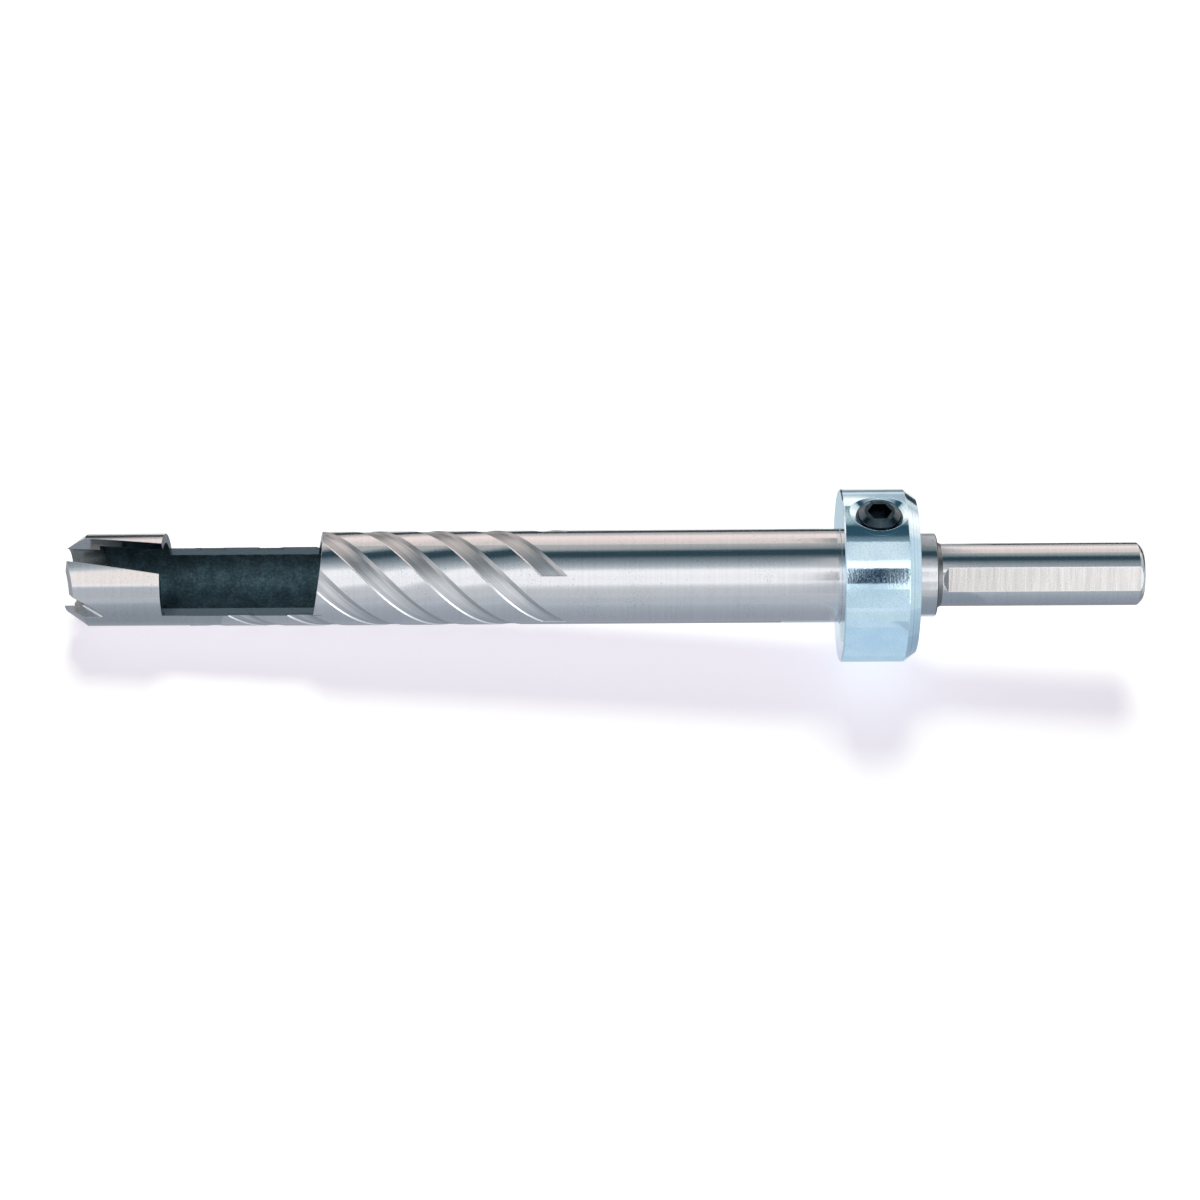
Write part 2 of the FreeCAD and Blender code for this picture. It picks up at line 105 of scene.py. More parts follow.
def new_group(name, inputs, outputs):
    """An empty node group with named sockets. An input is a name, a type and a default."""
    tree = bpy.data.node_groups.new(name, "ShaderNodeTree")
    for socket_name, kind, default in inputs:
        socket = tree.interface.new_socket(socket_name, in_out="INPUT", socket_type=kind)
        if default is not None:
            socket.default_value = default
    for socket_name, kind in outputs:
        tree.interface.new_socket(socket_name, in_out="OUTPUT", socket_type=kind)
    return tree, tree.nodes.new("NodeGroupInput"), tree.nodes.new("NodeGroupOutput")


def add_group(tree, group, **sockets):
    """Places a node group in a material and sets its inputs."""
    return add_node(tree, "ShaderNodeGroup", {"node_tree": group}, **sockets)


# %% [markdown]
# ## Measuring along the tool
# Lathe and grinder leave lines round the axis. To draw them, a shader needs to know how far
# along the tool a point is, how far from the axis, and at which angle. A UV map could hold
# that, but CAD meshes have none. This group works it out in millimetres from the Object
# coordinates, which stay with the piece when it moves.

# %% Group: tool coordinates
tool_group, group_in, group_out = new_group(
    "Tool coordinates", [("Position", VECTOR, None)],
    [("Along", FLOAT), ("Radius", FLOAT), ("Angle", FLOAT), ("Up", FLOAT)])
from_tip = vectors(tool_group, "SUBTRACT", group_in.outputs["Position"], TIP)
along, side, up = (times(tool_group, vectors(tool_group, "DOT_PRODUCT", from_tip, direction), 1 / MM)
                   for direction in (AXIS, SIDE, UP))
radius = maths(tool_group, "SQRT", maths(tool_group, "ADD", times(tool_group, side, side),
                                         times(tool_group, up, up)))
angle = maths(tool_group, "ARCTAN2", side, up)
for name, value in (("Along", along), ("Radius", radius), ("Angle", angle), ("Up", up)):
    tool_group.links.new(value, group_out.inputs[name])
print("tool coordinates in", len(tool_group.nodes), "nodes")

# %% [markdown]
# ## Lines left by a tool
# A grinding wheel or a lathe tool leaves fine parallel lines. Across them the surface changes
# quickly, along them hardly at all. A wave texture would make them too regular, so noise is
# stretched along the lines. The group gives a height for bump and a tint, in which broader
# lines are mixed with the fine ones.

# %% Noise
def noise(tree, place, scale, detail=2.0, roughness=0.5):
    """Cloudy random values. The scale counts the clouds in a metre."""
    return add_node(tree, "ShaderNodeTexNoise", Vector=place, Scale=scale, Detail=detail,
                    Roughness=roughness).outputs["Fac"]


def scaled(tree, vector, amount):
    """Makes a vector longer or a colour brighter."""
    node = add_node(tree, "ShaderNodeVectorMath", {"operation": "SCALE"}, n0=vector, Scale=amount)
    return node.outputs[0]


# %% Group: machining lines
BROADER = 0.17
lines_group, group_in, group_out = new_group(
    "Machining lines",
    [("Across", FLOAT, 0.0), ("Lengthwise", FLOAT, 0.0), ("Lines per mm", FLOAT, 3.0),
     ("Line length mm", FLOAT, 12.0)],
    [("Height", FLOAT), ("Tint", FLOAT)])
across = times(lines_group, group_in.outputs["Across"], group_in.outputs["Lines per mm"])
length = maths(lines_group, "DIVIDE", group_in.outputs["Lengthwise"], group_in.outputs["Line length mm"])
place = add_node(lines_group, "ShaderNodeCombineXYZ", X=across, Y=length).outputs[0]
fine = noise(lines_group, place, 1.0, 3.0, 0.7)
broad = noise(lines_group, scaled(lines_group, place, BROADER), 1.0, 2.0, 0.5)
tint = maths(lines_group, "ADD", times(lines_group, fine, 0.5), times(lines_group, broad, 0.5))
lines_group.links.new(fine, group_out.inputs["Height"])
lines_group.links.new(tint, group_out.inputs["Tint"])
print("machining lines in", len(lines_group.nodes), "nodes")

# %% [markdown]
# ## Where the flutes run
# Five helical flutes wind round the barrel at 45 degrees and lift the chips. Their grinding
# lines follow the helix, so the steel needs to know where each flute is. Unrolled, the flutes
# are straight stripes, and one remainder finds how far a point is from the front edge of its
# stripe. All five then cost the same few nodes as one.

# %% Group: flutes
FLUTE_LEAD, FLUTE_COUNT, FLUTE_WIDTH = 44.77, 5, 4.07
FLUTE_START, FLUTE_END, FLUTE_END_ANGLE = 19.3, 72.0, math.radians(-41.75)
SQUARE_TO_FLUTE = math.sqrt(0.5)
flute_group, group_in, group_out = new_group(
    "Flutes", [("Along", FLOAT, 0.0), ("Angle", FLOAT, 0.0)],
    [("Mask", FLOAT), ("Across", FLOAT), ("Lengthwise", FLOAT)])
along = group_in.outputs["Along"]
turned = times(flute_group, group_in.outputs["Angle"], FLUTE_LEAD / math.tau)
first_edge = FLUTE_END + FLUTE_END_ANGLE * FLUTE_LEAD / math.tau
unrolled = maths(flute_group, "SUBTRACT", maths(flute_group, "ADD", along, turned), first_edge)
stripe = maths(flute_group, "FLOORED_MODULO", unrolled, FLUTE_LEAD / FLUTE_COUNT)
edge_along = maths(flute_group, "SUBTRACT", along, stripe)
inside = maths(flute_group, "LESS_THAN", stripe, FLUTE_WIDTH)
inside = times(flute_group, inside, maths(flute_group, "GREATER_THAN", edge_along, FLUTE_START))
inside = times(flute_group, inside, maths(flute_group, "LESS_THAN", edge_along, FLUTE_END))
lengthwise = maths(flute_group, "SUBTRACT", along, turned)
flute_group.links.new(inside, group_out.inputs["Mask"])
flute_group.links.new(times(flute_group, stripe, SQUARE_TO_FLUTE), group_out.inputs["Across"])
flute_group.links.new(times(flute_group, lengthwise, SQUARE_TO_FLUTE), group_out.inputs["Lengthwise"])
print("flutes in", len(flute_group.nodes), "nodes,", round(FLUTE_LEAD / FLUTE_COUNT, 2), "mm apart")

# %% [markdown]
# ## Softened edges
# No machined edge is perfectly sharp. Deburring leaves a tiny round that catches the light as
# a bright line. A bevel in the mesh would make it, but would also change the CAD piece. Cycles
# can round the normals near an edge instead, and leaves the mesh as it is.

# %% Group: softened edges
EDGE_ROUND = 0.12 * MM
edge_group, group_in, group_out = new_group("Softened edges", [("Radius", FLOAT, EDGE_ROUND)],
                                            [("Normal", VECTOR)])
rounded = add_node(edge_group, "ShaderNodeBevel", {"samples": 4}, Radius=group_in.outputs["Radius"])
edge_group.links.new(rounded.outputs["Normal"], group_out.inputs["Normal"])
print("edges rounded by", round(EDGE_ROUND / MM, 2), "mm")

# %% [markdown]
# ## Ground steel
# The cutter is one hardened steel bar. Its outside is cylindrically ground, so its lines run
# round it. The bore was only drilled and keeps the dark skin of hardening. Each finish could be
# a material of its own, but the bar is one mesh with one slot. So one material makes them all,
# and masks that measure along and round the tool say which finish shows.

# %% A new metal
def new_material(name):
    """A metal with one Principled BSDF, ready to be wired."""
    material = bpy.data.materials.new(name)
    material.use_nodes = True
    tree = material.node_tree
    shader = next(node for node in tree.nodes if node.type == "BSDF_PRINCIPLED")
    shader.inputs["Metallic"].default_value = 1.0
    return material, tree, shader


# %% Material: ground steel
steel, tree, shader = new_material("ground_steel_finish")
position = add_node(tree, "ShaderNodeTexCoord").outputs["Object"]
surface_normal = add_node(tree, "ShaderNodeNewGeometry").outputs["Normal"]
facing_back = vectors(tree, "DOT_PRODUCT", surface_normal, AXIS)
tool = add_group(tree, tool_group, Position=position)
along, radius, angle, up = (tool.outputs[name] for name in ("Along", "Radius", "Angle", "Up"))
BARREL_RADIUS = 7.0
girth = times(tree, angle, BARREL_RADIUS)
print("steel starts with", len(tree.nodes), "nodes")

# %% [markdown]
# ## Where each finish lies
# The land is the short bright hole in the tip that sizes the plug, and the bore behind it is
# wider and dark. The window's lips and its front wall are milled. The flats are ground across
# the shank, and the shoulder between neck and shank is turned. The distances are millimetres
# from the tip, and each limit stands a little off the surface that it picks.

# %% Masks
def fade(tree, value, low, high, to_low=0.0, to_high=1.0):
    """A smooth change from one value to another as the first goes from low to high."""
    settings = {"interpolation_type": "SMOOTHSTEP", "clamp": True}
    return add_node(tree, "ShaderNodeMapRange", settings, Value=value, From_Min=low, From_Max=high,
                    To_Min=to_low, To_Max=to_high).outputs["Result"]


def within(tree, value, low, high, soft=0.02):
    """A mask that is 1 between two values."""
    return times(tree, fade(tree, value, low - soft, low + soft),
                 fade(tree, value, high + soft, high - soft))


# %% Masks of the finishes
HEAD_END = 18.6
LAND_RADIUS, LAND_END = 4.84, 5.24
BORE_RADIUS, BORE_START, BORE_END = 5.6, 5.27, 45.5
WINDOW_START, WINDOW_END = 14.9, 39.0
LIPS_LOW, LIPS_HIGH = -0.5, -0.4
FLAT_RADIUS, FLAT_START, FLAT_END = 4.73, 132.5, 162.0
SHOULDER_START, SHOULDER_END = 128.0, 133.5
FLUTED_RADIUS = 6.4
FROM_AXIS, FROM_TIP = -1.0, -1.0
FACES_BACK, STRAIGHT_BACK, LEANS_BACK = 0.7, 1.1, 0.30
head = fade(tree, along, HEAD_END + 0.1, HEAD_END - 0.1)
bore = times(tree, within(tree, radius, FROM_AXIS, BORE_RADIUS),
             within(tree, along, BORE_START, BORE_END))
land = times(tree, within(tree, radius, FROM_AXIS, LAND_RADIUS),
             within(tree, along, FROM_TIP, LAND_END))
lips = times(tree, within(tree, up, LIPS_LOW, LIPS_HIGH),
             within(tree, along, WINDOW_START, WINDOW_END))
front_wall = times(tree, within(tree, facing_back, FACES_BACK, STRAIGHT_BACK),
                   within(tree, along, WINDOW_START, WINDOW_START + 0.2))
milled = maths(tree, "MAXIMUM", lips, front_wall)
flats = times(tree, within(tree, radius, FROM_AXIS, FLAT_RADIUS),
              within(tree, along, FLAT_START, FLAT_END))
shoulder = times(tree, fade(tree, facing_back, LEANS_BACK, LEANS_BACK + 0.1),
                 within(tree, along, SHOULDER_START, SHOULDER_END))
flutes = add_group(tree, flute_group, Along=along, Angle=angle)
fluted = times(tree, flutes.outputs["Mask"], fade(tree, radius, FLUTED_RADIUS, FLUTED_RADIUS + 0.2))
flute_across = flutes.outputs["Across"]
print("masks for 7 finishes, steel has", len(tree.nodes), "nodes")

# %% [markdown]
# ## Patterns in the steel
# Three sets of lines come from three grinding steps: round the bar, along the flutes, and
# across the flats. The rest is noise at several sizes. Fine grain dulls the polish, clouds and
# blotches belong to the dark skin, and tiny specks and a few pits mark where oil and handling
# have left their trace. Drift gathers the specks in patches, as dirt never lies evenly.

# %% Lines of the three grinding steps
round_lines = add_group(tree, lines_group, Across=along, Lengthwise=girth, Lines_per_mm=9.0,
                        Line_length_mm=9.0)
flute_lines = add_group(tree, lines_group, Across=flute_across, Lengthwise=flutes.outputs["Lengthwise"],
                        Lines_per_mm=6.0, Line_length_mm=16.0)
flat_lines = add_group(tree, lines_group, Across=along, Lengthwise=girth, Lines_per_mm=7.5,
                       Line_length_mm=7.0)
print("3 sets of lines")

# %% Grain, clouds, specks and pits
PIT_RIM, PIT_HEART, UNPITTED_SHARE = 0.16, 0.06, 0.80
grain = noise(tree, position, 6500.0, 2.0, 0.6)
specks = noise(tree, position, 4200.0, 2.0, 0.7)
cloud = noise(tree, position, 2600.0, 3.0, 0.8)
blotch = noise(tree, position, 520.0, 5.0, 0.6)
drift = noise(tree, position, 160.0, 3.0)
speck = times(tree, fade(tree, specks, 0.56, 0.70), fade(tree, drift, 0.42, 0.62))
cells = add_node(tree, "ShaderNodeTexVoronoi", {"feature": "F1"}, Vector=position, Scale=1300.0)
lot = add_node(tree, "ShaderNodeSeparateColor", Color=cells.outputs["Color"]).outputs["Red"]
pit = times(tree, fade(tree, cells.outputs["Distance"], PIT_RIM, PIT_HEART),
            fade(tree, lot, UNPITTED_SHARE, UNPITTED_SHARE + 0.04))
print("patterns done, steel has", len(tree.nodes), "nodes")

# %% [markdown]
# ## Colour of the bright steel
# Bare steel is a slightly blue grey metal, and its colour hardly changes over the bar. Only
# small shares of light and dark are laid on it, because strong tints would look painted. In a
# flute the steep front wall shines, partly from the wall card and partly from a painted highlight
# in its colour, and the gentle slope at the rear gets a darker colour as painted shade.

# %% Blending and toning colours
def blend(tree, mask, first, second):
    """Goes from the first colour to the second where the mask is 1."""
    node = add_node(tree, "ShaderNodeMix", {"data_type": "RGBA"}, n0=mask, n6=first, n7=second)
    return node.outputs[2]


def toned(tree, colour, pattern, low, high, spread):
    """A colour that grows darker and lighter with a pattern, by a share either way."""
    return scaled(tree, colour, fade(tree, pattern, low, high, 1 - spread, 1 + spread))


# %% Bright steel
STEEL = (0.385, 0.408, 0.440)
HEAD_STEEL = (0.375, 0.396, 0.426)
FLAT_STEEL = (0.430, 0.430, 0.432)
PAINTED_WALL_HIGHLIGHT = (0.72, 0.74, 0.76)
PAINTED_SLOPE_SHADE = (0.24, 0.26, 0.28)
FRONT_WALL_WIDTH, REAR_SLOPE_START, SLOPE_SHADE_SHARE = 0.20, 2.20, 0.45
ground = blend(tree, head, STEEL, HEAD_STEEL)
ground = toned(tree, ground, round_lines.outputs["Tint"], 0.35, 0.65, 0.03)
ground = toned(tree, ground, grain, 0.3, 0.7, 0.05)
ground = toned(tree, ground, speck, 1.0, 0.0, 0.15)
in_flute = toned(tree, STEEL, flute_lines.outputs["Tint"], 0.34, 0.66, 0.26)
in_flute = toned(tree, in_flute, grain, 0.3, 0.7, 0.03)
# Painted highlight on the flutes' front walls, painted shade on their rear slopes.
wall_highlight_mask = fade(tree, flute_across, FRONT_WALL_WIDTH + 0.06, FRONT_WALL_WIDTH)
slope_shade_mask = fade(tree, flute_across, REAR_SLOPE_START, REAR_SLOPE_START + 0.12, 0.0, SLOPE_SHADE_SHARE)
in_flute = blend(tree, wall_highlight_mask, in_flute, PAINTED_WALL_HIGHLIGHT)
in_flute = blend(tree, slope_shade_mask, in_flute, PAINTED_SLOPE_SHADE)
on_flats = toned(tree, FLAT_STEEL, flat_lines.outputs["Tint"], 0.36, 0.64, 0.13)
on_flats = toned(tree, on_flats, grain, 0.3, 0.7, 0.03)
colour = blend(tree, fluted, ground, in_flute)
colour = blend(tree, flats, colour, on_flats)
print("bright steel done, steel has", len(tree.nodes), "nodes")

# %% [markdown]
# ## Colour of the dark places
# Hardening leaves a blue black skin, and what isn't ground afterwards keeps it. It is mottled
# at two sizes, and a few grains in it sparkle. Inside the claws the skin is painted paler than
# deep in the bore, as painted light that falls in from the open front. The milled lips are slate
# grey and the land dull, and the shoulder's dark colour is painted shade.

# %% Dark skin, slate, land and shoulder
SKIN_DARK, SKIN_PALE = (0.022, 0.044, 0.057), (0.058, 0.094, 0.114)
SLATE = (0.067, 0.102, 0.133)
LAND_STEEL = (0.215, 0.245, 0.250)
SHOULDER_PAINTED_SHADE = (0.130, 0.140, 0.150)
PIT_GREY = (0.12, 0.13, 0.14)
SPARKLE_STEEL = (0.45, 0.50, 0.50)
PIT_SHARE, SPARKLE_SHARE = 0.5, 0.5
CLAW_PAINTED_LIGHT, CLAW_PAINTED_LIGHT_END = 2.2, 13.0
BORE_SKIN, BORE_SKIN_START = 1.15, 16.0
skin = blend(tree, fade(tree, cloud, 0.40, 0.76), SKIN_DARK, SKIN_PALE)
skin = toned(tree, skin, blotch, 0.35, 0.65, 0.22)
# Painted light: the skin is made paler inside the claws, where light falls in from the front.
skin = scaled(tree, skin, fade(tree, along, CLAW_PAINTED_LIGHT_END, BORE_SKIN_START, CLAW_PAINTED_LIGHT, BORE_SKIN))
# Painted shade: the shoulder between neck and shank gets a dark steel colour.
colour = blend(tree, shoulder, colour, toned(tree, SHOULDER_PAINTED_SHADE, grain, 0.3, 0.7, 0.15))
colour = blend(tree, land, colour, toned(tree, LAND_STEEL, cloud, 0.3, 0.7, 0.2))
colour = blend(tree, milled, colour, toned(tree, SLATE, cloud, 0.3, 0.7, 0.08))
colour = blend(tree, bore, colour, skin)
colour = blend(tree, times(tree, pit, PIT_SHARE), colour, PIT_GREY)
sparkle = times(tree, bore, fade(tree, specks, 0.70, 0.78))
colour = blend(tree, times(tree, sparkle, SPARKLE_SHARE), colour, SPARKLE_STEEL)
tree.links.new(colour, shader.inputs["Base Color"])
print("colours done, steel has", len(tree.nodes), "nodes")

# %% [markdown]
# ## Roughness of each finish
# Roughness decides how much a surface blurs what it mirrors. The ground outside is nearly a
# mirror, and every other finish adds its own share to that, most of all the dark skin.

# %% Roughness
SMOOTHEST, DULLEST = 0.085, 0.125
ROUGHER = ((bore, 0.35), (milled, 0.15), (shoulder, 0.15), (flats, 0.16), (land, 0.12),
           (fluted, 0.24))
rough = fade(tree, grain, 0.3, 0.7, SMOOTHEST, DULLEST)
for mask, extra in ROUGHER:
    rough = maths(tree, "ADD", rough, times(tree, mask, extra))
tree.links.new(rough, shader.inputs["Roughness"])
print("roughness adds up over", len(ROUGHER), "masks")

# %% [markdown]
# ## Relief of the steel
# Bump gives each line and grain a real depth, under a hundredth of a millimetre. The flutes'
# floors lean towards their rear edge by a little more than the CAD solid shows, so that part is
# added to the normals. Ground lines also stretch highlights, which is anisotropy, and the
# tangent says that they run round the axis.

# %% Relief
def relief(tree, height, depth_mm, normal):
    """Lays a pattern on the surface as bump of a real depth."""
    return add_node(tree, "ShaderNodeBump", Distance=depth_mm * MM, Height=height,
                    Normal=normal).outputs["Normal"]


def blend_values(tree, mask, first, second):
    """Goes from the first value to the second where the mask is 1."""
    node = add_node(tree, "ShaderNodeMix", {"data_type": "FLOAT"}, n0=mask, n2=first, n3=second)
    return node.outputs[0]


# %% Relief and the way of the lines
FLUTE_LEAN = 0.20
FLOOR_LOW, FLOOR_HIGH = 0.2, 2.25
LINE_DEPTH, GRAIN_DEPTH, SPECK_DEPTH = 0.0007, 0.0028, 0.0022
FLUTE_LINES_DEEPER, FLAT_LINES_DEEPER = 9.0, 6.0
STRETCH = 0.7
round_way = vectors(tree, "CROSS_PRODUCT", AXIS, surface_normal)
across_flute = vectors(tree, "SUBTRACT", AXIS, round_way)
flute_floor = times(tree, fluted, within(tree, flute_across, FLOOR_LOW, FLOOR_HIGH, 0.03))
edges = add_group(tree, edge_group, Radius=EDGE_ROUND)
lean = scaled(tree, across_flute, times(tree, flute_floor, FLUTE_LEAN))
leaned = vectors(tree, "ADD", edges.outputs["Normal"], lean)
normal = add_node(tree, "ShaderNodeVectorMath", {"operation": "NORMALIZE"}, n0=leaned).outputs[0]
line_height = blend_values(tree, fluted, round_lines.outputs["Height"],
                           times(tree, flute_lines.outputs["Height"], FLUTE_LINES_DEEPER))
line_height = blend_values(tree, flats, line_height,
                           times(tree, flat_lines.outputs["Height"], FLAT_LINES_DEEPER))
for height, depth in ((line_height, LINE_DEPTH), (grain, GRAIN_DEPTH), (speck, SPECK_DEPTH)):
    normal = relief(tree, height, depth, normal)
tree.links.new(normal, shader.inputs["Normal"])
tree.links.new(round_way, shader.inputs["Tangent"])
shader.inputs["Anisotropic"].default_value = STRETCH
frame["nodes"]["cutter_body"].material_slots[0].material = steel
print("ground steel done in", len(tree.nodes), "nodes")

# %% [markdown]
# ## Zinc plated collar
# The collar is turned from mild steel and bright zinc plated. Zinc is a pale blue metal, almost
# a mirror, with fine dull grains in it. Lathe lines show under the plate, most of all as rings
# on the rear chamfer and in the countersink round the screw, where the tool was fed faster.
# The masks for both measure from the tool's axis and from the screw's own axis.

# %% Material: zinc plate
SCREW_AXIS = Vector(joints["set_screw_turn"]["axis"]).normalized()
SCREW_PLACE = Vector(joints["set_screw_turn"]["pos_m"])
CHAMFER_START, CHAMFER_RADIUS = 125.0, 13.08
SINK_RADIUS, SINK_FLOOR = 4.46, 11.4
zinc, tree, shader = new_material("zinc_plate_finish")
position = add_node(tree, "ShaderNodeTexCoord").outputs["Object"]
tool = add_group(tree, tool_group, Position=position)
along, radius, angle = (tool.outputs[name] for name in ("Along", "Radius", "Angle"))
from_screw = vectors(tree, "SUBTRACT", position, SCREW_PLACE)
off_screw = add_node(tree, "ShaderNodeVectorMath", {"operation": "LENGTH"},
                     n0=vectors(tree, "CROSS_PRODUCT", from_screw, SCREW_AXIS)).outputs["Value"]
off_screw = times(tree, off_screw, 1 / MM)
countersink = times(tree, fade(tree, off_screw, SINK_RADIUS, SINK_RADIUS - 0.04),
                    fade(tree, radius, SINK_FLOOR, SINK_FLOOR + 0.1))
chamfer = times(tree, fade(tree, radius, CHAMFER_RADIUS, CHAMFER_RADIUS - 0.08),
                fade(tree, along, CHAMFER_START, CHAMFER_START + 0.1))
print("zinc starts with", len(tree.nodes), "nodes")

# %% [markdown]
# ## Colour and relief of the zinc
# The plate's colour drifts a little, as rinse water dries unevenly. Its grains are darker, and
# so are some of the chamfer's rings. Adding along and radius gives lathe lines on the round
# face and on both end faces at once. A very shallow orange peel keeps mirrored edges from
# being perfectly straight.

# %% Zinc colour
ZINC_BLUE, ZINC_PALE = (0.53, 0.71, 0.84), (0.58, 0.76, 0.87)
GRAIN_BLUE, RING_BLUE = (0.20, 0.33, 0.42), (0.20, 0.29, 0.35)
GRAIN_SHARE, RING_SHARE = 0.22, 0.55
ZINC_SMOOTHEST, ZINC_DULLEST = 0.04, 0.075
cloud = noise(tree, position, 330.0, 4.0)
frost = noise(tree, position, 5200.0, 2.0, 0.7)
rings = add_group(tree, lines_group, Across=radius, Lengthwise=angle, Lines_per_mm=3.2,
                  Line_length_mm=30.0)
dark_rings = times(tree, chamfer, fade(tree, rings.outputs["Height"], 0.48, 0.66, 0.0, RING_SHARE))
plate = blend(tree, fade(tree, cloud, 0.35, 0.7), ZINC_BLUE, ZINC_PALE)
plate = blend(tree, fade(tree, frost, 0.35, 0.70, 0.0, GRAIN_SHARE), plate, GRAIN_BLUE)
plate = blend(tree, dark_rings, plate, RING_BLUE)
tree.links.new(plate, shader.inputs["Base Color"])
rough = fade(tree, cloud, 0.3, 0.75, ZINC_SMOOTHEST, ZINC_DULLEST)
tree.links.new(rough, shader.inputs["Roughness"])
print("zinc colour done, zinc has", len(tree.nodes), "nodes")

# %% Zinc relief
LATHE_DEPTH, PEEL_DEPTH = 0.001, 0.004
SINK_DEEPER, RINGS_DEEPER = 6.0, 14.0
peel = noise(tree, position, 3600.0, 3.0, 0.6)
lathe_lines = add_group(tree, lines_group, Across=maths(tree, "ADD", along, radius), Lengthwise=angle,
                        Lines_per_mm=6.0, Line_length_mm=4.0)
sink_lines = add_group(tree, lines_group, Across=off_screw, Lengthwise=along, Lines_per_mm=5.0,
                       Line_length_mm=40.0)
line_height = blend_values(tree, countersink, lathe_lines.outputs["Height"],
                           times(tree, sink_lines.outputs["Height"], SINK_DEEPER))
line_height = blend_values(tree, chamfer, line_height,
                           times(tree, rings.outputs["Height"], RINGS_DEEPER))
edges = add_group(tree, edge_group, Radius=EDGE_ROUND)
normal = relief(tree, line_height, LATHE_DEPTH, edges.outputs["Normal"])
normal = relief(tree, peel, PEEL_DEPTH, normal)
tree.links.new(normal, shader.inputs["Normal"])
frame["nodes"]["stop_collar"].material_slots[0].material = zinc
print("zinc plate done in", len(tree.nodes), "nodes")

# %% [markdown]
# ## Black oxide screw
# Set screws are blackened in a hot salt bath. The finish is thin and a little oily, so it is
# dark with soft highlights. A plain dark metal would do from afar. One noise makes its tint and
# its gloss uneven, which close views need.

# %% Material: black oxide
OXIDE_DARK, OXIDE_PALE = (0.044, 0.066, 0.084), (0.085, 0.112, 0.135)
OXIDE_SMOOTHEST, OXIDE_DULLEST = 0.10, 0.20
black, tree, shader = new_material("black_oxide_finish")
position = add_node(tree, "ShaderNodeTexCoord").outputs["Object"]
grain = noise(tree, position, 1500.0, 3.0)
tree.links.new(blend(tree, grain, OXIDE_DARK, OXIDE_PALE), shader.inputs["Base Color"])
rough = fade(tree, grain, 0.3, 0.7, OXIDE_SMOOTHEST, OXIDE_DULLEST)
tree.links.new(rough, shader.inputs["Roughness"])
frame["nodes"]["set_screw"].material_slots[0].material = black
print("black oxide done in", len(tree.nodes), "nodes")

# %% [markdown]
# ## Floor
# The floor is pale and looks white, apart from the tool's soft shadow. More lamps would make it
# white, but would burn out the steel. So the floor glows a little by itself, and Light Path
# lets only the camera and mirrors see that glow: it throws no light on the tool.

# %% Helpers for flat things
def bare_tree(owner):
    """Gives a material or world an empty node tree."""
    owner.use_nodes = True
    owner.node_tree.nodes.clear()
    return owner.node_tree


def flat_mesh(name, half_side):
    """A single square face."""
    shape = bmesh.new()
    bmesh.ops.create_grid(shape, x_segments=1, y_segments=1, size=half_side)
    mesh = bpy.data.meshes.new(name)
    shape.to_mesh(mesh)
    shape.free()
    return mesh


# %% The floor
FLOOR_GREY, FLOOR_GLOW = (0.82, 0.82, 0.82), (0.96, 0.91, 1)
CAMERA_LIFT, MIRROR_LIFT = 0.75, 0.58
FLOOR_REACH, FLOOR_DROP = 3.0, 0.01 * MM
floor = bpy.data.objects.new("floor", flat_mesh("floor", FLOOR_REACH))
floor.location.z = -FLOOR_DROP
bpy.context.scene.collection.objects.link(floor)
floor_finish = bpy.data.materials.new("pale_floor")
tree = bare_tree(floor_finish)
rays = add_node(tree, "ShaderNodeLightPath")
lift = maths(tree, "ADD", times(tree, rays.outputs["Is Camera Ray"], CAMERA_LIFT),
             times(tree, rays.outputs["Is Glossy Ray"], MIRROR_LIFT))
diffuse = add_node(tree, "ShaderNodeBsdfDiffuse", Color=FLOOR_GREY)
glow = add_node(tree, "ShaderNodeEmission", Color=FLOOR_GLOW, Strength=lift)
both = add_node(tree, "ShaderNodeAddShader", n0=diffuse.outputs[0], n1=glow.outputs[0])
add_node(tree, "ShaderNodeOutputMaterial", Surface=both.outputs[0])
floor.data.materials.append(floor_finish)
print("floor", tuple(round(side, 1) for side in floor.dimensions), "m")

# %% [markdown]
# ## World
# The world is white to the camera and to mirrors, so that the background is white from every
# side. To the floor it gives only a weak, even light, which keeps the shadow from going black.

# %% White world
AMBIENT, WHITE = (0.05, 0.05, 0.05), (1, 1, 1)
world = bpy.data.worlds.new("pale_sky")
bpy.context.scene.world = world
tree = bare_tree(world)
rays = add_node(tree, "ShaderNodeLightPath")
seen = rays.outputs["Is Camera Ray"]
for ray in ("Is Glossy Ray", "Is Transmission Ray"):
    seen = maths(tree, "MAXIMUM", seen, rays.outputs[ray])
sky = add_node(tree, "ShaderNodeBackground", Color=blend(tree, seen, AMBIENT, WHITE), Strength=1.0)
add_node(tree, "ShaderNodeOutputWorld", Surface=sky.outputs[0])
print("world", world.name)

# %% [markdown]
# ## A tent of light
# Bright metal shows only what stands round it. Product photographers put a tent of white cloth
# and black card over it, and each strip of the tent becomes a band on the steel. Area lamps
# could draw those bands too, but would also light the floor. This tent is half a cylinder
# along the tool that only mirror rays see. Its brightness changes with the angle round the
# tool: 0 is level in front, 90 straight overhead, 180 level behind.

# %% Places round the tool
MIDDLE = Vector((0, 0, 8)) * MM


def across_tool(angle_deg, distance):
    """A point at an angle round the tool, 0 in front and 90 overhead."""
    turn = math.radians(angle_deg)
    return MIDDLE + Vector((0, -math.cos(turn), math.sin(turn))) * distance


def only_in_mirrors(thing):
    """Hides a thing from all rays but those that a mirror sends out."""
    for ray in ("camera", "diffuse", "transmission", "shadow", "volume_scatter"):
        setattr(thing, "visible_" + ray, False)
    bpy.context.scene.collection.objects.link(thing)


